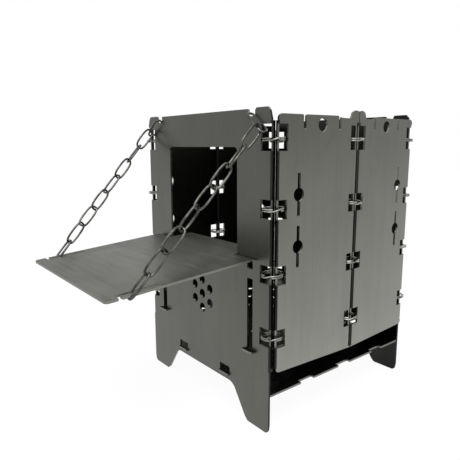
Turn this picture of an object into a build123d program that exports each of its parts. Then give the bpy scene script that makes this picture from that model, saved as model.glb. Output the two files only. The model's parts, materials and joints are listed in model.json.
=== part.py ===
from build123d import *
import math
import os

# Folding pocket wood stove in sheet steel, standing open and ready for use.
# +X is the stove's right side, -Y is its front with the fuel shelf, +Z is up.
# The origin is on the ground, midway between the feet of the two end panels.

# Sheet metal
SHEET = 1.5               # thickness of every panel and plate
EDGE_ROUND = 3.0          # rounding of the outer panel corners
FIT = 0.25                # clearance between loose pieces that touch

# End panels, front and back
PANEL_W = 154.2           # width of the front and back panel
PANEL_H = 222.5           # height from the ground to the top of the ears
DEPTH = 156.0             # outside of the front panel to outside of the back panel
END_TOP_DROP = 0.5        # how far the top edge lies below the ears
EAR_W = 15.5              # width of an ear
EAR_LEAN = 1.5            # how far an ear's outer side leans in at the top
EAR_CHAMFER = 2.2         # corner cut of an ear
NOTCH_W = 6.9             # width of the notch beside an ear
NOTCH_DROP = 5.2          # depth of that notch below the ears
FOOT_W = 22.1             # width of a foot at the ground
FOOT_LEAN = 3.0           # how far the inner end of a foot slopes out above its toe
FOOT_TOE = 2.6            # height of the toe
ARCH_HALF = 38.0          # half width of the arch at its top
ARCH_Z = 23.5             # height of the arch between the feet
ARCH_ROUND = 9.0
FOOT_ROUND = 6.0

# Side leaves, two on each side
LEAF_STEP = 3.3           # how far a leaf's face stands outside the end panel's edge
LEAF_DROP = 4.3           # how far a leaf's top edge lies below the ears
LEAF_BOTTOM = 46.0        # height of a leaf's bottom edge
CORNER_GAP = 3.3          # distance from the end panel's face to the leaf's corner edge
SEAM_GAP = 0.55           # gap between the two ears at the seam
BOW = 3.3                 # degrees by which each leaf leans out towards the seam
SEAM_SET_BACK = 0.1       # how far the seam edge is set back below the seam ear
SEAM_EAR_W = 8.4          # width of the ear at the seam
NICK_W = 2.2              # width of the pot nicks in the top edge
NICK_DEPTH = 9.6          # depth of the pot nicks
NICK_U = (22.2, 55.0)     # places of the pot nicks from the corner edge
NICK_MOUTH = 1.6          # half width of a nick's mouth
NICK_MOUTH_DEPTH = 3.0
EYE_U = 38.6              # place of the round hole between the nicks
EYE_DROP = 6.4            # its depth below the top edge
EYE_R = 4.3
KEY_U = 18.0              # place of the keyholes from the corner edge
KEY_SLOT_W = 2.6
KEY_SLOT_L = 28.5
KEY_EYE_R = 4.6
KEY_DROP = (51.6, 86.6)   # depths of the two keyholes below the top edge

# Edges bent inwards, hinge notches beside the bend, and the split rings in the notches
END_FLANGE = 3.6          # depth of an end panel's bent edge, sheet included
CORNER_FLANGE = 3.15      # depth of a leaf's bent edge at the corner
SEAM_FLANGE = 3.5         # depth of a leaf's bent edge at the seam
CORNER_BEND = 1.2         # outer radius of the bend at a corner
SEAM_BEND = 2.8           # outer radius of the bend at the seam
FLANGE_TIP = 0.3          # rounding of a bent edge's tip
NOTCH_END = 9.9           # reach of a hinge notch into an end panel
NOTCH_LEAF = 7.9          # reach of a hinge notch into a leaf
HINGE_H = 12.8            # height of a hinge notch
HINGE_LOW = 70.0          # middle of the lowest notch
HINGE_TOP_DROP = 21.1     # middle of the highest notch below the ears
HINGES = 4
HINGE_TOP_EXTRA = 4.2     # how much further up the highest notch reaches
FLANGE_OVER = 2.0         # metal of the bent edge above the highest notch
RING_WIRE = 1.3           # thickness of one turn of a split ring
RING_TURN_STEP = 1.1      # height between the two turns
RING_R = 7.0              # mean radius of a split ring
TOP_RING_LIFT = 1.0       # how much higher the highest ring sits in its notch
CORNER_RING_X = 2.7       # middle of a corner ring inside the end panel's edge
CORNER_RING_Y = 4.8       # middle of a corner ring behind the end panel's face
SEAM_RING_IN = 3.6        # middle of a seam ring inside the leaves' outer face
SEAM_RING_SHIFT = 0.6     # how far a seam ring has slid towards the front

# Fire door opening, shelf and its chain slots
OPEN_HALF = 43.4          # half width of the opening
OPEN_DROP = 25.0          # top of the opening below the ears
SILL_Z = 121.5
OPEN_ROUND = 3.0
SHELF_HALF = 62.0         # half width of the shelf
SHELF_REACH = 108.0       # from the front panel's face to the shelf's outer edge
SHELF_DROP = 4.2          # degrees by which the shelf slopes down outwards
TONGUE_IN = 17.0          # how far the tongue reaches inside the front panel
TONGUE_PLAY = 1.2         # gap on each side of the tongue
SHOULDER_GAP = 1.6        # gap between the shelf's shoulders and the front panel
NECK_RELIEF = 1.0         # relief cut beside the tongue
SHELF_BAR = 3.4           # strip of metal outside the chain slot
SHELF_SLOT_W = 2.4
SHELF_SLOT_NEAR = 72.0    # distance of the chain slot's near end from the panel's face
SHELF_SLOT_FAR = 100.0
SHELF_MOUTH = 2.4         # width of the mouth that lets the chain link in

# Plain round air holes low in the front panel: one in the middle and a ring about it
AIR_Z = 83.5
AIR_R = 3.6
AIR_RING = 11.5
AIR_COUNT = 6

# Long guide slots in the end panels and the grate and floor plate in them
GUIDE_IN = 19.9           # middle of a guide slot from the end panel's edge
GUIDE_W = 5.8
GUIDE_LOW = 55.0
GUIDE_HIGH = 108.2
GUIDE_TOP_SLOT = (115.0, 120.6)
GRATE_HALF = 66.0         # half width of the grate
GRATE_PLAY = 0.05         # gap below the grate's tabs
GRATE_TAB_W = 5.0
GRATE_HEAD_W = 10.5
GRATE_HEAD_L = 3.2
GRATE_HOLE_R = 4.0
GRATE_HOLE_PITCH = 18.0
FLOOR_Z = 27.2            # underside of the floor plate
FLOOR_PLAY = 0.05         # gap below the floor plate's tabs
FLOOR_HALF = 77.0
FLOOR_TAB_X = 28.2        # middle of a floor tab
FLOOR_TAB_W = 11.5
FLOOR_TAB_OUT = 1.8       # how far a floor tab stands out of the end panel
FLOOR_SLOT_H = 7.0
FLOOR_NICK_W = 14.0
FLOOR_NICK_D = 3.0
FLOOR_NICK_Y = (-38.5, 4.0, 46.5)
TAB_ROOT = 1.0            # how far a tab reaches into its plate

# Chains
LINK_WIRE = 1.6
LINK_BEND = 3.0           # mean radius of a link's round end
LINKS = 8
SHELF_LINKS = 1           # links at the lower end that stay with the shelf
LINK_PLAY = 0.25
HOOK_BEND = 3.4           # mean radius of the hook ring's round ends
HOOK_FACE_GAP = 0.1       # gap between the hook ring and the back of the front panel
HOOK_NOTCH_LIFT = 1.7     # height of the hook ring's upper end above the notch
HOOK_NOTCH_IN = 4.0       # distance of its upper end from the ear
HOOK_LOW_IN = 5.4         # lower end of the hook ring from the panel's edge
HOOK_LOW_DROP = 15.7      # lower end of the hook ring below the ears
HOOK_SEAT = 0.3           # how much further down the hook's bar the first link hangs
SHELF_LINK_DROP = 1.95    # how far the last link reaches round the shelf's edge strip
CHAIN_SHELF_Y = 91.0      # distance of the chain's lower end from the panel's face

# Worked out from the sizes above
FACE = DEPTH / 2
EDGE = PANEL_W / 2
SIDE = EDGE + LEAF_STEP
CORNER_Y = -FACE + CORNER_GAP
LEAF_L = (-CORNER_Y - SEAM_GAP / 2) / math.cos(math.radians(BOW))
LEAF_TOP = PANEL_H - LEAF_DROP
EAR_IN = EDGE - EAR_W
NOTCH_Z = PANEL_H - NOTCH_DROP
OPEN_TOP = PANEL_H - OPEN_DROP
GUIDE_X = EDGE - GUIDE_IN
HINGE_HIGH = PANEL_H - HINGE_TOP_DROP
HINGE_Z = [HINGE_HIGH - i * (HINGE_HIGH - HINGE_LOW) / (HINGES - 1) for i in range(HINGES)]
FLANGE_TOP = HINGE_HIGH + HINGE_H / 2 + HINGE_TOP_EXTRA + FLANGE_OVER


def outline(corners):
    """A closed face through corners given as (x, y, rounding)."""
    count = len(corners)
    ends = []
    for i, (x, y, r) in enumerate(corners):
        here = Vector(x, y)
        before = (Vector(*corners[i - 1][:2]) - here).normalized()
        after = (Vector(*corners[(i + 1) % count][:2]) - here).normalized()
        if r == 0:
            ends.append((here, None, here))
            continue
        half = math.radians(before.get_angle(after)) / 2
        reach = r / math.tan(half)
        middle = (before + after).normalized() * (r / math.sin(half) - r)
        ends.append((here + before * reach, here + middle, here + after * reach))
    edges = []
    for i, (start, middle, end) in enumerate(ends):
        if middle is not None:
            edges.append(ThreePointArc(start, middle, end))
        edges.append(Line(end, ends[(i + 1) % count][0]))
    return make_face(edges)


def window(x, z, w, h, r=0.4):
    """A rectangular hole with its middle at x, z."""
    return Pos(x, z) * RectangleRounded(w, h, r)


def both(shape):
    """A flat shape and its mirror image about the middle."""
    return shape + mirror(shape, Plane.YZ)


def stand(face, outer_y):
    """A flat shape stood up across the stove, its front face at outer_y."""
    return extrude(Plane.XZ.offset(-(outer_y + SHEET)) * face, SHEET)


def guide_slots():
    """Guide slots and floor slots that both end panels have."""
    guide_h = GUIDE_HIGH - GUIDE_LOW
    holes = both(window(GUIDE_X, GUIDE_LOW + guide_h / 2, GUIDE_W, guide_h))
    floor_slot_w = FLOOR_TAB_W + 2 * FIT
    holes += both(window(FLOOR_TAB_X, FLOOR_Z - FLOOR_PLAY + FLOOR_SLOT_H / 2, floor_slot_w, FLOOR_SLOT_H))
    return holes


def end_outline():
    """Right half of an end panel's outline, from the arch round to the top, then mirrored."""
    foot_in = EDGE - FOOT_W
    notch_in = EAR_IN - NOTCH_W
    top = PANEL_H - END_TOP_DROP
    half = [
        (ARCH_HALF, ARCH_Z, ARCH_ROUND),
        (foot_in - FOOT_LEAN, FOOT_TOE, FOOT_ROUND),
        (foot_in, 0.0, 1.5),
        (EDGE - 1.0, 0.0, EDGE_ROUND),
        (EDGE, 6.0, 1.0),
        (EDGE, FLANGE_TOP + 1.0, 1.0),
        (EDGE - EAR_LEAN, PANEL_H - EAR_CHAMFER, 0.8),
        (EDGE - EAR_LEAN - 2.0, PANEL_H, 0.8),
        (EAR_IN + 1.2, PANEL_H, 0.8),
        (EAR_IN, PANEL_H - 1.6, 0.6),
        (EAR_IN, NOTCH_Z, 0.8),
        (notch_in, NOTCH_Z, 0.8),
        (notch_in, top, 0.8),
    ]
    left = [(-x, z, r) for x, z, r in reversed(half)]
    return outline(half + left)


def bent_edge(depth, bend, low):
    """An edge bent inwards, seen from its own side: X runs out to the edge at 0, Y inwards."""
    root = -max(bend, SHEET) - 1.0
    profile = outline([
        (root, 0, 0),
        (0, 0, bend),
        (0, depth, FLANGE_TIP),
        (-SHEET, depth, FLANGE_TIP),
        (-SHEET, SHEET, 0),
        (root, SHEET, 0),
    ])
    band = Pos(root / 2, SHEET / 2, (low + FLANGE_TOP) / 2) * Box(-root, SHEET, FLANGE_TOP - low)
    return Pos(0, 0, low) * extrude(profile, FLANGE_TOP - low), band


def hinge_notches(reach):
    """Cutters for the hinge notches of one edge, open to the edge, that spare the bent part."""
    cutters = []
    for i, z in enumerate(HINGE_Z):
        extra = HINGE_TOP_EXTRA if i == 0 else 0
        height = HINGE_H + extra
        cutters.append(Pos(-reach / 2 + 0.5, SHEET / 2 - 0.5, z + extra / 2) * Box(reach + 1, SHEET + 1, height))
    return cutters


def fold_edge(sheet, depth, bend, low, reach, place):
    """Give a flat sheet a bent edge with hinge notches; place moves the edge's frame to it."""
    flange, band = bent_edge(depth, bend, low)
    sheet = sheet - place(band) + place(flange)
    for cutter in hinge_notches(reach):
        sheet -= place(cutter)
    return sheet


def make_end_panel(holes):
    """An end panel with its front face at the front of the stove."""
    sheet = stand(end_outline() - guide_slots() - holes, -FACE)

    def right(shape):
        return Pos(EDGE, -FACE, 0) * shape

    def left(shape):
        return mirror(right(shape), Plane.YZ)

    for place in (right, left):
        sheet = fold_edge(sheet, END_FLANGE, CORNER_BEND, LEAF_BOTTOM, NOTCH_END, place)
    return sheet


def make_front_panel():
    top_slot_h = GUIDE_TOP_SLOT[1] - GUIDE_TOP_SLOT[0]
    shelf_slots = both(window(GUIDE_X, GUIDE_TOP_SLOT[0] + top_slot_h / 2, GUIDE_W, top_slot_h))
    return make_end_panel(fire_door() + shelf_slots + air_holes())


def fire_door():
    """The opening that the wood goes in through, its lower corners square for the shelf."""
    return outline([
        (-OPEN_HALF, SILL_Z, 0),
        (OPEN_HALF, SILL_Z, 0),
        (OPEN_HALF, OPEN_TOP, OPEN_ROUND),
        (-OPEN_HALF, OPEN_TOP, OPEN_ROUND),
    ])


def air_holes():
    """A plain ring of round air holes low in the front panel."""
    holes = Sketch() + Pos(0, AIR_Z) * Circle(AIR_R)
    for i in range(AIR_COUNT):
        angle = math.radians(360 / AIR_COUNT * i + 90)
        holes += Pos(AIR_RING * math.cos(angle), AIR_Z + AIR_RING * math.sin(angle)) * Circle(AIR_R)
    return holes


def make_back_panel():
    return mirror(make_end_panel(Sketch()), Plane.XZ)


def make_leaf():
    """A side leaf lying along X from its corner edge, outer face on the XZ plane."""
    seam = LEAF_L - SEAM_SET_BACK
    ear_in = LEAF_L - SEAM_EAR_W
    face = outline([
        (0, LEAF_BOTTOM, EDGE_ROUND),
        (seam, LEAF_BOTTOM, 1.0),
        (seam, FLANGE_TOP, 0.5),
        (LEAF_L, FLANGE_TOP + 1.0, 0.5),
        (LEAF_L, PANEL_H - 0.8, 0.7),
        (LEAF_L - 3.5, PANEL_H, 2.4),
        (ear_in + 1.5, PANEL_H - 1.6, 1.5),
        (ear_in, LEAF_TOP - 1.5, 1.5),
        (NICK_U[1] + 2.2, LEAF_TOP - 1.2, 1.5),
        (NICK_U[1] - 2.4, LEAF_TOP, 1.2),
        (NICK_U[0] + NICK_MOUTH, LEAF_TOP, 1.0),
        (NICK_U[0], LEAF_TOP - NICK_MOUTH_DEPTH, 0),
        (NICK_U[0] - NICK_MOUTH, LEAF_TOP, 1.0),
        (0, LEAF_TOP, EDGE_ROUND),
    ])
    holes = Pos(EYE_U, LEAF_TOP - EYE_DROP) * Circle(EYE_R)
    for u in NICK_U:
        holes += Pos(u, LEAF_TOP - NICK_DEPTH / 2) * SlotOverall(NICK_DEPTH, NICK_W, 90)
    for drop in KEY_DROP:
        holes += Pos(KEY_U, LEAF_TOP - drop) * Circle(KEY_EYE_R)
        holes += window(KEY_U, LEAF_TOP - drop, KEY_SLOT_W, KEY_SLOT_L)
    leaf = extrude(Plane.XZ.offset(-SHEET) * (face - holes), SHEET)

    def at_seam(shape):
        return Pos(seam, 0, 0) * shape

    def at_corner(shape):
        return mirror(shape, Plane.YZ)

    leaf = fold_edge(leaf, SEAM_FLANGE, SEAM_BEND, LEAF_BOTTOM + 1.0, NOTCH_LEAF, at_seam)
    return fold_edge(leaf, CORNER_FLANGE, CORNER_BEND, LEAF_BOTTOM + EDGE_ROUND, NOTCH_LEAF, at_corner)


def place_leaf(leaf):
    """Move a leaf from its own frame to the stove's front right corner."""
    return Pos(SIDE, CORNER_Y, 0) * Rot(0, 0, 90 - BOW) * leaf


def ring_stack(x, y):
    """Split rings in the hinge notches of one edge, each two turns of wire."""
    turns = Pos(RING_R, RING_TURN_STEP / 2) * Circle(RING_WIRE / 2)
    turns += Pos(RING_R, -RING_TURN_STEP / 2) * Circle(RING_WIRE / 2)
    ring = revolve(Plane.XZ * turns, Axis.Z)
    lifts = [TOP_RING_LIFT] + [0] * (HINGES - 1)
    return Compound([Pos(x, y, z + lift) * ring for z, lift in zip(HINGE_Z, lifts)])


def make_shelf():
    """The fuel shelf, drawn flat with Y outwards negative, then tilted about the sill."""
    root = -SHEET - SHOULDER_GAP
    outer = -SHEET - SHELF_REACH
    slot_out = SHELF_HALF - SHELF_BAR
    half = [
        (OPEN_HALF - TONGUE_PLAY, TONGUE_IN, 2.0),
        (OPEN_HALF - TONGUE_PLAY, root - NECK_RELIEF, 0.6),
        (OPEN_HALF + 1.0, root - NECK_RELIEF, 0.4),
        (OPEN_HALF + 1.5, root, 0.4),
        (SHELF_HALF, root, 1.0),
        (SHELF_HALF, outer, 3.0),
    ]
    left = [(-x, y, r) for x, y, r in reversed(half)]
    face = outline(list(reversed(half)) + list(reversed(left)))
    near, far = -SHEET - SHELF_SLOT_NEAR, -SHEET - SHELF_SLOT_FAR
    slot = window(slot_out - SHELF_SLOT_W / 2, (near + far) / 2, SHELF_SLOT_W, near - far, 0.5)
    mouth = Pos(slot_out + SHELF_BAR / 2, far + SHELF_MOUTH / 2) * Rectangle(SHELF_BAR + 1, SHELF_MOUTH)
    return extrude(face - both(slot + mouth), SHEET)


def tilt_shelf(piece):
    return Pos(0, -FACE + SHEET, SILL_Z + FIT) * Rot(SHELF_DROP, 0, 0) * piece


def make_grate():
    """Fire grate with round holes and T-shaped tabs through the guide slots."""
    inner = FACE - SHEET - FIT
    plate = Rectangle(2 * GRATE_HALF, 2 * inner)
    rows = int(inner // GRATE_HOLE_PITCH)
    columns = int((GRATE_HALF - GRATE_HOLE_R) // GRATE_HOLE_PITCH)
    for i in range(-columns, columns + 1):
        for j in range(-rows + 1, rows):
            plate -= Pos(i * GRATE_HOLE_PITCH, j * GRATE_HOLE_PITCH) * Circle(GRATE_HOLE_R)
    neck_end = FACE + FIT + GRATE_HEAD_L
    for side in (-1, 1):
        for end in (-1, 1):
            neck_middle = (inner - TAB_ROOT + neck_end) / 2
            neck_l = neck_end - inner + TAB_ROOT
            plate += Pos(side * GUIDE_X, end * neck_middle) * Rectangle(GRATE_TAB_W, neck_l)
            head_y = neck_end - GRATE_HEAD_L / 2
            plate += Pos(side * GUIDE_X, end * head_y) * RectangleRounded(GRATE_HEAD_W, GRATE_HEAD_L, 1.0)
    return Pos(0, 0, GUIDE_LOW + GRATE_PLAY) * extrude(plate, SHEET)


def make_floor():
    """Ash plate whose tabs rest in slots of both end panels."""
    inner = FACE - SHEET - FIT
    plate = RectangleRounded(2 * FLOOR_HALF, 2 * inner, 1.0)
    for y in FLOOR_NICK_Y:
        for side in (-1, 1):
            plate -= Pos(side * FLOOR_HALF, y) * Rectangle(2 * FLOOR_NICK_D, FLOOR_NICK_W)
    tab_end = FACE + FLOOR_TAB_OUT
    for side in (-1, 1):
        for end in (-1, 1):
            middle = (inner - TAB_ROOT + tab_end) / 2
            plate += Pos(side * FLOOR_TAB_X, end * middle) * Rectangle(FLOOR_TAB_W, tab_end - inner + TAB_ROOT)
    return Pos(0, 0, FLOOR_Z) * extrude(plate, SHEET)


def link(inner_length, along, across, centre, bend=LINK_BEND):
    """One oval chain link: long axis along, flat in the plane of along and across."""
    run = (inner_length + LINK_WIRE - 2 * bend) / 2
    path = Wire([
        Line((-run, bend), (run, bend)),
        ThreePointArc((run, bend), (run + bend, 0), (run, -bend)),
        Line((run, -bend), (-run, -bend)),
        ThreePointArc((-run, -bend), (-run - bend, 0), (-run, bend)),
    ])
    section = Plane(origin=(0, bend, 0), z_dir=(1, 0, 0)) * Circle(LINK_WIRE / 2)
    body = sweep(section, path)
    normal = Vector(*along).cross(Vector(*across))
    return Plane(origin=centre, x_dir=Vector(*along), z_dir=normal) * body


def make_chain():
    """Right chain: the hook ring in the front panel, then its links down to the shelf."""
    hook_y = -FACE + SHEET + LINK_WIRE / 2 + HOOK_FACE_GAP - HOOK_BEND
    high = Vector(EAR_IN - HOOK_NOTCH_IN, hook_y, NOTCH_Z + HOOK_NOTCH_LIFT)
    low = Vector(EDGE - HOOK_LOW_IN, hook_y, PANEL_H - HOOK_LOW_DROP)
    hook_dir = (low - high).normalized()
    hook = link((low - high).length - LINK_WIRE, hook_dir, (0, 1, 0), (high + low) / 2, HOOK_BEND)
    top = low - hook_dir * (HOOK_BEND + HOOK_SEAT) - Vector(0, HOOK_BEND, 0)
    drop = math.radians(SHELF_DROP)
    reach = CHAIN_SHELF_Y + SHEET
    bar_mid = Vector(SHELF_HALF - SHELF_BAR / 2,
                     -FACE + SHEET - reach * math.cos(drop),
                     SILL_Z + FIT - reach * math.sin(drop) + SHEET / 2)
    run = (bar_mid - top).normalized()
    start = top - run * (LINK_WIRE / 2 + FIT)
    end = bar_mid + run * SHELF_LINK_DROP
    pitch = (end - start).length / LINKS
    flat = Vector(1, 0, 0)
    flat = (flat - run * flat.dot(run)).normalized()
    upright = run.cross(flat)
    links = []
    for i in range(LINKS):
        across = flat if (LINKS - i) % 2 == 1 else upright
        links.append(link(pitch + LINK_PLAY, run, across, start + run * (pitch * (i + 0.5))))
    shelf_pin = start + run * (pitch * (LINKS - SHELF_LINKS) - (LINK_PLAY + LINK_WIRE) / 2)
    for name, spot in (("hook bar", top), ("shelf link's bar", shelf_pin)):
        print("chain", name, tuple(round(v, 3) for v in spot))
    return hook, links


def save(name, shape):
    export_step(shape, f"parts/{name}.step")


def main():
    os.makedirs("parts", exist_ok=True)
    save("front_panel", make_front_panel())
    save("back_panel", make_back_panel())
    save("floor_plate", make_floor())
    save("fire_grate", make_grate())
    save("fuel_shelf", tilt_shelf(make_shelf()))

    leaf = place_leaf(make_leaf())
    right_rear = mirror(leaf, Plane.XZ)
    save("right_front_leaf", leaf)
    save("right_rear_leaf", right_rear)
    save("left_front_leaf", mirror(leaf, Plane.YZ))
    save("left_rear_leaf", mirror(right_rear, Plane.YZ))

    front = ring_stack(EDGE - CORNER_RING_X, -FACE + CORNER_RING_Y)
    seam_x = SIDE + LEAF_L * math.sin(math.radians(BOW)) - SEAM_RING_IN
    seam = ring_stack(seam_x, -SEAM_RING_SHIFT)
    rear = mirror(front, Plane.XZ)
    for side, flip in (("right", False), ("left", True)):
        for place, rings in (("front", front), ("seam", seam), ("rear", rear)):
            save(f"{side}_{place}_rings", mirror(rings, Plane.YZ) if flip else rings)

    hook, links = make_chain()
    for side, flip in (("right", False), ("left", True)):
        save(f"{side}_chain_hook", mirror(hook, Plane.YZ) if flip else hook)
        for i, piece in enumerate(links):
            save(f"{side}_chain_link_{i + 1}", mirror(piece, Plane.YZ) if flip else piece)


main()
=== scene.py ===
import json
import math
import random

import bpy
from mathutils import Matrix, Vector


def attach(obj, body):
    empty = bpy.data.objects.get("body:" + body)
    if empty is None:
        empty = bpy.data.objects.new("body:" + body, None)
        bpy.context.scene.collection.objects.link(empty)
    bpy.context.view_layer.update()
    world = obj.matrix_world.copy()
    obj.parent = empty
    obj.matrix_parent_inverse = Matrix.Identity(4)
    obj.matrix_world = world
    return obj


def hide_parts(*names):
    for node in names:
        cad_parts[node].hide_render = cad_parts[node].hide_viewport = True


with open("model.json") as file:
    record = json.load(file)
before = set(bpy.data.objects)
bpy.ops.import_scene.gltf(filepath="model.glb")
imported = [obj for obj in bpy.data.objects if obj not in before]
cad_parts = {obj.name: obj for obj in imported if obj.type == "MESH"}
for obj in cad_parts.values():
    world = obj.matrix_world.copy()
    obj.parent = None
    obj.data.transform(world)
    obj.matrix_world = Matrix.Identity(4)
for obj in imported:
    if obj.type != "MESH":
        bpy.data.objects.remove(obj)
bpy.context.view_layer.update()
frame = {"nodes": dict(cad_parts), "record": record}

scene = bpy.context.scene
nodes = frame["nodes"]
bodies = frame["record"]["behaviour"]["bodies"]
body_of = {part: body for body, parts in bodies.items() for part in parts}

# Camera
PHOTO = 460                       # the photograph's width and height in pixels
FOCAL_PIXELS = 478.64
SENSOR = 36.0
CAMERA_AT = Vector((0.29839, -0.28734, 0.19910))
CAMERA_TURN = 51.486              # degrees to the left of looking along +Y
CAMERA_DOWN = 10.111
CAMERA_ROLL = -0.216


def make_camera():
    turn, down, roll = (math.radians(v) for v in (CAMERA_TURN, CAMERA_DOWN, CAMERA_ROLL))
    level = math.cos(down)
    forward = Vector((-math.sin(turn) * level, math.cos(turn) * level, -math.sin(down)))
    right = forward.cross(Vector((0, 0, 1))).normalized()
    up = right.cross(forward)
    right_rolled = right * math.cos(roll) + up * math.sin(roll)
    up_rolled = up * math.cos(roll) - right * math.sin(roll)
    data = bpy.data.cameras.new("camera")
    data.sensor_width = SENSOR
    data.lens = FOCAL_PIXELS / PHOTO * SENSOR
    data.clip_start = 0.01
    camera = bpy.data.objects.new("camera", data)
    axes = Matrix((right_rolled, up_rolled, -forward)).transposed()
    camera.matrix_world = Matrix.Translation(CAMERA_AT) @ axes.to_4x4()
    scene.collection.objects.link(camera)
    scene.camera = camera


# Materials
class Shader:
    """A material being built: adds nodes and links them in a row."""

    def __init__(self, name):
        self.material = bpy.data.materials.new(name)
        self.material.use_nodes = True
        self.tree = self.material.node_tree
        self.tree.nodes.clear()
        self.output = self.tree.nodes.new("ShaderNodeOutputMaterial")
        self.surface = self.tree.nodes.new("ShaderNodeBsdfPrincipled")
        self.link(self.surface, "BSDF", self.output, "Surface")

    def node(self, kind, **values):
        node = self.tree.nodes.new(kind)
        for key, value in values.items():
            setattr(node, key, value)
        return node

    def link(self, a, out, b, into):
        self.tree.links.new(a.outputs[out], b.inputs[into])

    def noise(self, stretch, scale, detail, distortion=0.0):
        """Noise in the part's own coordinates, stretched by three factors."""
        coords = self.node("ShaderNodeTexCoord")
        mapping = self.node("ShaderNodeMapping")
        mapping.inputs["Scale"].default_value = stretch
        noise = self.node("ShaderNodeTexNoise")
        noise.inputs["Scale"].default_value = scale
        noise.inputs["Detail"].default_value = detail
        noise.inputs["Distortion"].default_value = distortion
        self.link(coords, "Object", mapping, "Vector")
        self.link(mapping, "Vector", noise, "Vector")
        return noise.outputs["Fac"]

    def ramp(self, socket, stops):
        ramp = self.node("ShaderNodeValToRGB")
        elements = ramp.color_ramp.elements
        for i, (place, colour) in enumerate(stops):
            element = elements[i] if i < 2 else elements.new(place)
            element.position = place
            element.color = (*colour, 1)
        self.tree.links.new(socket, ramp.inputs["Fac"])
        return ramp.outputs["Color"]

    def mix(self, first, second, kind="MULTIPLY", factor=1.0):
        """Two colours mixed; factor, first and second may be sockets or plain values."""
        mix = self.node("ShaderNodeMix", data_type="RGBA", blend_type=kind)
        for key, value in (("Factor", factor), ("A", first), ("B", second)):
            if isinstance(value, bpy.types.NodeSocket):
                self.tree.links.new(value, mix.inputs[key])
            elif key == "Factor":
                mix.inputs[key].default_value = value
            else:
                mix.inputs[key].default_value = (*value, 1)
        return mix.outputs["Result"]

    def math(self, operation, *values):
        node = self.node("ShaderNodeMath", operation=operation)
        for i, value in enumerate(values):
            if isinstance(value, bpy.types.NodeSocket):
                self.tree.links.new(value, node.inputs[i])
            else:
                node.inputs[i].default_value = value
        return node.outputs["Value"]

    def split(self, kind):
        """The three parts of the object's own Normal or place."""
        coords = self.node("ShaderNodeTexCoord")
        parts = self.node("ShaderNodeSeparateXYZ")
        self.link(coords, kind, parts, "Vector")
        return [parts.outputs[axis] for axis in "XYZ"]

    def spread(self, socket, low, high, start=0.3, stop=0.7):
        """A value between start and stop stretched onto low to high."""
        node = self.node("ShaderNodeMapRange")
        for key, value in (("From Min", start), ("From Max", stop), ("To Min", low), ("To Max", high)):
            node.inputs[key].default_value = value
        self.tree.links.new(socket, node.inputs["Value"])
        return node.outputs["Result"]

    def finish(self, colour, roughness, height, strength):
        """Metal of this colour and roughness, with fine relief from height."""
        self.surface.inputs["Metallic"].default_value = 1.0
        self.tree.links.new(colour, self.surface.inputs["Base Color"])
        self.tree.links.new(roughness, self.surface.inputs["Roughness"])
        bump = self.node("ShaderNodeBump")
        bump.inputs["Strength"].default_value = strength
        bump.inputs["Distance"].default_value = BUMP_DEPTH
        self.tree.links.new(height, bump.inputs["Height"])
        self.link(bump, "Normal", self.surface, "Normal")
        return self.material


def steel(value):
    """The slightly olive grey of the stainless sheet."""
    return (value * 1.01, value * 1.02, value * 0.91)


def even(value):
    return (value, value, value)


X, Y, Z = range(3)
UNSTRETCHED = (1, 1, 1)
FADE_FROM, FADE_TO = 0.05, 0.215  # heights between which upright sheet changes tone: painted shading by height
CUT_EDGE = 0.6                    # less of the normal than this along an axis: turned away from it; such cut edges get a lighter tone, a painted highlight
BENT_EDGE = 0.93                  # the same on the bent edges, which take the painted shade sooner
INWARDS = -0.02                   # normal times place below this: the side that faces the fire, painted in shade
CORNER_ZONE = 0.0695              # upright bends lie further than this from the stove's middle
SEAM_ZONE = 0.006                 # or, at a seam, nearer to it than this
BUMP_DEPTH = 0.0002


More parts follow.
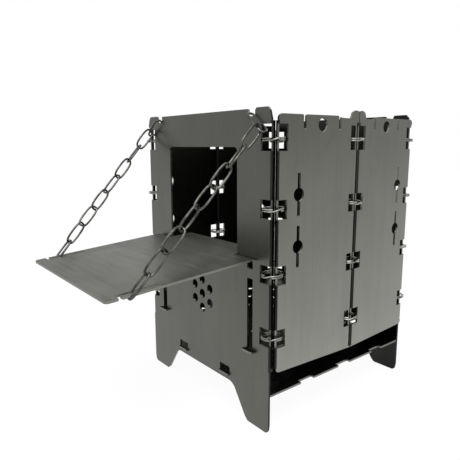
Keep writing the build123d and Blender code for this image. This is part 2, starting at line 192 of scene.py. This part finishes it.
def brushed(name, along, face_axis, tone, edge_highlight_tone, inner_shade_tone=None, smudge=0.10,
            rough=(0.26, 0.36), scuffs=False, fade=None):
    """Brushed stainless sheet with streaks along one axis and cut edges in a lighter tone, a painted
    highlight.

    Where an inner tone is given, it is painted shade: the side that faces the fire has that tone, and
    so have the bent edges at the corners and seams and what is cut close to them. smudge is how much
    darker the cloudy patches are, rough the roughness from streak to streak, and scuffs adds stripes of
    wear. fade gives the tone's factors at the foot and at the top of upright sheet: the shading,
    painted in."""
    shader = Shader(name)

    def streaks(lengthwise, across, **settings):
        stretch = [lengthwise if i == along else across for i in (X, Y, Z)]
        return shader.noise(stretch, **settings)

    fine = streaks(1.0, 70.0, scale=30.0, detail=4.0)
    wide = streaks(0.7, 10.0, scale=12.0, detail=2.0)
    cloud = shader.noise(UNSTRETCHED, scale=13.0, detail=4.0, distortion=0.6)
    marks = streaks(1.0, 2.2, scale=34.0, detail=5.0, distortion=1.2)
    colour = shader.mix(steel(tone), shader.ramp(fine, [(0.32, even(0.94)), (0.68, even(1.05))]))
    colour = shader.mix(colour, shader.ramp(wide, [(0.3, even(0.97)), (0.7, even(1.03))]))
    smudges = [(0.3, even(1 - smudge)), (0.7, even(1 + smudge * 0.5))]
    colour = shader.mix(colour, shader.ramp(cloud, smudges))
    colour = shader.mix(colour, shader.ramp(marks, [(0.60, even(1)), (0.74, even(0.92))]))
    if scuffs:
        stripe = shader.noise((0.6, 9.0, 1.0), scale=16.0, detail=3.0, distortion=1.6)
        stops = zip((0.36, 0.46, 0.60, 0.66, 0.72), (0.86, 1, 1, 1.13, 1))
        colour = shader.mix(colour, shader.ramp(stripe, [(at, even(v)) for at, v in stops]))
    normal, place = shader.split("Normal"), shader.split("Object")
    if fade:
        colour = shader.mix(colour, shader.spread(place[Z], *fade, FADE_FROM, FADE_TO))
    # Edges turned away from the face get a lighter tone: a painted highlight.
    facing = shader.math("ABSOLUTE", normal[face_axis])
    turned = shader.math("LESS_THAN", facing, CUT_EDGE)
    cut = shader.mix(steel(edge_highlight_tone), shader.ramp(fine, [(0.35, even(0.72)), (0.65, even(1.05))]))
    # The inner side, and the bends at corners and seams, get a near-black tone: painted shade.
    if inner_shade_tone is not None:
        outwards = [shader.math("MULTIPLY", normal[i], place[i]) for i in (X, Y)]
        inwards = shader.math("LESS_THAN", shader.math("ADD", *outwards), INWARDS)
        painted_shade = shader.mix(steel(inner_shade_tone), shader.ramp(cloud, [(0.35, even(0.6)), (0.65, even(1.2))]))
        colour = shader.mix(colour, painted_shade, "MIX", inwards)
        sideways = shader.math("ABSOLUTE", place[1 - face_axis])
        upright = shader.math("LESS_THAN", shader.math("ABSOLUTE", normal[Z]), CUT_EDGE)
        at_corner = shader.math("GREATER_THAN", sideways, CORNER_ZONE)
        at_seam = shader.math("LESS_THAN", sideways, SEAM_ZONE)
        bent = shader.math("MULTIPLY", upright, shader.math("MAXIMUM", at_corner, at_seam))
        painted_valley_shade = shader.math("MULTIPLY", shader.math("LESS_THAN", facing, BENT_EDGE), bent)
        cut = shader.mix(cut, painted_shade, "MIX", bent)
        turned = shader.math("MAXIMUM", turned, painted_valley_shade)
    colour = shader.mix(colour, cut, "MIX", turned)
    return shader.finish(colour, shader.spread(fine, *rough), fine, strength=0.10)


def wire(name, tone, rough, scale):
    """Drawn and tumbled wire with dull patches and fine scratches."""
    shader = Shader(name)
    patches = shader.noise(UNSTRETCHED, scale, detail=4.0, distortion=0.4)
    scratches = shader.noise(UNSTRETCHED, scale * 8, detail=3.0)
    colour = shader.ramp(patches, [(0.38, steel(tone * 0.45)), (0.62, steel(tone * 1.15))])
    roughness = shader.spread(patches, rough + 0.12, rough)
    return shader.finish(colour, roughness, scratches, strength=0.12)


def dress(name, material):
    data = nodes[name].data
    data.materials.clear()
    data.materials.append(material)


# Each kind of part gets its own tone of the same sheet as painted light and shade: darker on the end
# panels and the flat plates, lighter on the side leaves and the shelf. The inner tone is painted shade,
# and the fade is painted shading by height.
END_STEEL = brushed("end_panel_steel", Z, Y, tone=0.100, edge_highlight_tone=0.22, inner_shade_tone=0.03,
                    fade=(1.2, 0.95))
SIDE_STEEL = brushed("side_leaf_steel", Z, X, tone=0.178, edge_highlight_tone=0.24, inner_shade_tone=0.03,
                     fade=(1.45, 0.70))
FLAT_STEEL = brushed("plate_steel", Y, Z, tone=0.05, edge_highlight_tone=0.2, smudge=0.35)
SHELF_STEEL = brushed("shelf_steel", X, Z, tone=0.160, edge_highlight_tone=0.25, smudge=0.42,
                      rough=(0.42, 0.58), scuffs=True)
RING_WIRE = wire("ring_wire", tone=0.34, rough=0.14, scale=190.0)
CHAIN_WIRE = wire("chain_wire", tone=0.11, rough=0.14, scale=150.0)

for name in nodes:
    if name.endswith("panel"):
        dress(name, END_STEEL)
    elif name.endswith("leaf"):
        dress(name, SIDE_STEEL)
    elif name.endswith("rings"):
        dress(name, RING_WIRE)
    elif "chain" in name:
        dress(name, CHAIN_WIRE)
    elif name == "fuel_shelf":
        dress(name, SHELF_STEEL)
    else:
        dress(name, FLAT_STEEL)


# Wire pieces, in metres. The places of rings and chains repeat those of the part's source.
def wire_piece(name, runs, radius, material, node):
    """One mesh of wire along runs of points, in place of a node; open runs have cut ends."""
    data = bpy.data.curves.new(name, "CURVE")
    data.dimensions = "3D"
    data.bevel_depth = radius
    data.bevel_resolution = 3
    data.use_fill_caps = True
    for points, closed in runs:
        spline = data.splines.new("POLY")
        spline.points.add(len(points) - 1)
        for spot, point in zip(spline.points, points):
            spot.co = (*point, 1)
        spline.use_cyclic_u = closed
    holder = bpy.data.objects.new(name + "_line", data)
    scene.collection.objects.link(holder)
    graph = bpy.context.evaluated_depsgraph_get()
    mesh = bpy.data.meshes.new_from_object(holder.evaluated_get(graph))
    bpy.data.objects.remove(holder)
    piece = bpy.data.objects.new(name, mesh)
    scene.collection.objects.link(piece)
    mesh.materials.clear()
    mesh.materials.append(material)
    for face in mesh.polygons:
        face.use_smooth = len(face.vertices) == 4
    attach(piece, body_of[node])
    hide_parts(node)


RING_RADIUS = 0.0070              # to the middle of the wire
RING_WIRE_RADIUS = 0.00058
RING_STEP = 0.00128               # between the two turns
RING_CROSS = math.radians(26)     # half the arc in which the wire steps from one turn to the other
RING_HEIGHTS = (0.2024, 0.1576, 0.1138, 0.0700)
RING_TURN_SPREAD = 0.5            # how far a ring's crossing may turn from outwards, in radians
RING_TILT = 0.05                  # how far a ring may lean, rise over run
RING_SEED = 5
RING_SPOTS = {
    "right_front_rings": (0.0744, -0.0732), "right_seam_rings": (0.08109, -0.0006),
    "right_rear_rings": (0.0744, 0.0732), "left_front_rings": (-0.0744, -0.0732),
    "left_seam_rings": (-0.08109, -0.0006), "left_rear_rings": (-0.0744, 0.0732),
}


def split_ring(x, y, z, turn, tilt_x, tilt_y):
    """Two close turns of wire; the ends butt against the short crossing between the turns."""
    points = []
    steps = 96
    length = 4 * math.pi - 2 * RING_CROSS
    for k in range(steps + 1):
        angle = RING_CROSS + length * k / steps
        rise = (angle - (2 * math.pi - RING_CROSS)) / (2 * RING_CROSS)
        rise = min(max(rise, 0.0), 1.0)
        rise = rise * rise * (3 - 2 * rise)
        flat = Vector((math.cos(angle + turn), math.sin(angle + turn), 0)) * RING_RADIUS
        lean = flat.x * tilt_x + flat.y * tilt_y
        points.append(Vector((x, y, z + (rise - 0.5) * RING_STEP + lean)) + flat)
    return points, False


def make_rings():
    draw = random.Random(RING_SEED)
    for node, (x, y) in RING_SPOTS.items():
        runs = []
        for z in RING_HEIGHTS:
            away = math.atan2(y, x) + draw.uniform(-RING_TURN_SPREAD, RING_TURN_SPREAD)
            tilt = [draw.uniform(-RING_TILT, RING_TILT) for axis in "xy"]
            runs.append(split_ring(x, y, z, away, *tilt))
        name = node.replace("rings", "split_rings")
        wire_piece(name, runs, RING_WIRE_RADIUS, RING_WIRE, node)


CHAIN_START = Vector((0.068973, -0.081689, 0.209991))     # the right chain's upper end
CHAIN_RUN = Vector((-0.06743, -0.67694, -0.73294)).normalized()
CHAIN_PITCH = 0.0163203
LINK_REACH = 0.00908              # from a link's middle to the middle of its end bars
LINK_HALF = 0.0038                # from a link's middle line to the middle of its side bars
SHELF_LINK_HALF = 0.0030          # the same for the link that goes through the shelf's slot
LINK_WIRE_RADIUS = 0.0008
LINKS = 8
LINK_END, LINK_SIDE = 0.80, 0.52  # powers that give a link its round ends and long sides
# Turn of each link about the chain's run, in degrees from its CAD plane, hook end first
LINK_TURNS = {
    "right": (0, 18, 6, -24, -24, -39, -4, 0),
    "left": (0, -12, 8, 12, 12, 36, 20, 0),
}


def oval(centre, along, across, half):
    """A long link: straight sides that bow out a little, round ends."""
    points = []
    steps = 48
    for k in range(steps):
        angle = 2 * math.pi * k / steps
        c, s = math.cos(angle), math.sin(angle)
        lengthwise = math.copysign(abs(c) ** LINK_END, c) * LINK_REACH
        sideways = math.copysign(abs(s) ** LINK_SIDE, s) * half
        points.append(centre + along * lengthwise + across * sideways)
    return points, True


def make_chains():
    flat = (Vector((1, 0, 0)) - CHAIN_RUN * CHAIN_RUN.x).normalized()
    upright = CHAIN_RUN.cross(flat)
    for side, sign in (("right", 1), ("left", -1)):
        for i in range(LINKS):
            centre = CHAIN_START + CHAIN_RUN * (CHAIN_PITCH * (i + 0.5))
            across = flat if (LINKS - i) % 2 == 1 else upright
            across = Matrix.Rotation(math.radians(LINK_TURNS[side][i]), 3, CHAIN_RUN) @ across
            half = SHELF_LINK_HALF if i == LINKS - 1 else LINK_HALF
            points, closed = oval(centre, CHAIN_RUN, across, half)
            points = [Vector((sign * p.x, p.y, p.z)) for p in points]
            node = f"{side}_chain_link_{i + 1}"
            wire_piece(f"{side}_link_{i + 1}", [(points, closed)], LINK_WIRE_RADIUS, CHAIN_WIRE,
                       node)


# Stage and light
HORIZON = 0.34                    # light on dull surfaces from level with the stove
OVERHEAD = 0.66                   # and from above
WARMTH = 0.98                     # the share of blue in it
RISE = (0.02, 0.42)               # where the one turns into the other, as a direction's z
FLOOR_REACH = 3.0
PAPER_SHARE = 0.90                # how much of the floor as seen is plain white
PAPER_WHITE = 1.055
FLOOR_TONE = (0.9, 0.9, 0.9, 1)
FLOOR_ROUGHNESS = 0.9
KEY_AT = (0.45, -0.40, 0.95)
KEY_TO = (0.15, -0.15, 0.0)
KEY_SIZE = 0.6
KEY_WATTS = 6


def seen_plainly(tree):
    """1 for rays from the camera and for those that metal and glass send on, 0 for the rest."""
    path = tree.nodes.new("ShaderNodeLightPath")
    seen = path.outputs["Is Camera Ray"]
    for kind in ("Is Glossy Ray", "Is Transmission Ray"):
        either = tree.nodes.new("ShaderNodeMath")
        either.operation = "MAXIMUM"
        tree.links.new(seen, either.inputs[0])
        tree.links.new(path.outputs[kind], either.inputs[1])
        seen = either.outputs["Value"]
    return seen


def make_stage():
    mesh = bpy.data.meshes.new("floor")
    corners = [(x * FLOOR_REACH, y * FLOOR_REACH, 0) for x, y in ((-1, -1), (1, -1), (1, 1), (-1, 1))]
    mesh.from_pydata(corners, [], [(0, 1, 2, 3)])
    floor = bpy.data.objects.new("floor", mesh)
    scene.collection.objects.link(floor)
    shader = Shader("floor_white")
    shader.surface.inputs["Base Color"].default_value = FLOOR_TONE
    shader.surface.inputs["Roughness"].default_value = FLOOR_ROUGHNESS
    shader.surface.inputs["Specular IOR Level"].default_value = 0.0
    paper = shader.node("ShaderNodeEmission")
    paper.inputs["Color"].default_value = (1, 1, 1, 1)
    paper.inputs["Strength"].default_value = PAPER_WHITE
    blend = shader.node("ShaderNodeMixShader")
    plain = shader.math("MULTIPLY", seen_plainly(shader.tree), PAPER_SHARE)
    shader.tree.links.new(plain, blend.inputs["Fac"])
    shader.tree.links.new(shader.surface.outputs["BSDF"], blend.inputs[1])
    shader.tree.links.new(paper.outputs["Emission"], blend.inputs[2])
    shader.link(blend, "Shader", shader.output, "Surface")
    mesh.materials.append(shader.material)


def make_world():
    world = bpy.data.worlds.new("studio")
    world.use_nodes = True
    tree = world.node_tree
    tree.nodes.clear()
    out = tree.nodes.new("ShaderNodeOutputWorld")
    coords = tree.nodes.new("ShaderNodeTexCoord")
    parts = tree.nodes.new("ShaderNodeSeparateXYZ")
    ramp = tree.nodes.new("ShaderNodeValToRGB")
    for element, place, value in zip(ramp.color_ramp.elements, RISE, (HORIZON, OVERHEAD)):
        element.position = place
        element.color = (value, value, value * WARMTH, 1)
    lit = tree.nodes.new("ShaderNodeBackground")
    seen = tree.nodes.new("ShaderNodeBackground")
    seen.inputs["Color"].default_value = (1, 1, 1, 1)
    mix = tree.nodes.new("ShaderNodeMixShader")
    tree.links.new(coords.outputs["Generated"], parts.inputs["Vector"])
    tree.links.new(parts.outputs["Z"], ramp.inputs["Fac"])
    tree.links.new(ramp.outputs["Color"], lit.inputs["Color"])
    tree.links.new(seen_plainly(tree), mix.inputs["Fac"])
    tree.links.new(lit.outputs["Background"], mix.inputs[1])
    tree.links.new(seen.outputs["Background"], mix.inputs[2])
    tree.links.new(mix.outputs["Shader"], out.inputs["Surface"])
    scene.world = world


def area_light(name, at, target, size, watts):
    data = bpy.data.lights.new(name, "AREA")
    data.shape = "SQUARE"
    data.size = size
    data.energy = watts
    light = bpy.data.objects.new(name, data)
    light.location = at
    light.rotation_euler = (Vector(target) - Vector(at)).to_track_quat("-Z", "Y").to_euler()
    scene.collection.objects.link(light)


make_camera()
make_rings()
make_chains()
make_stage()
make_world()
area_light("key", KEY_AT, KEY_TO, KEY_SIZE, KEY_WATTS)
scene.view_settings.view_transform = "Standard"
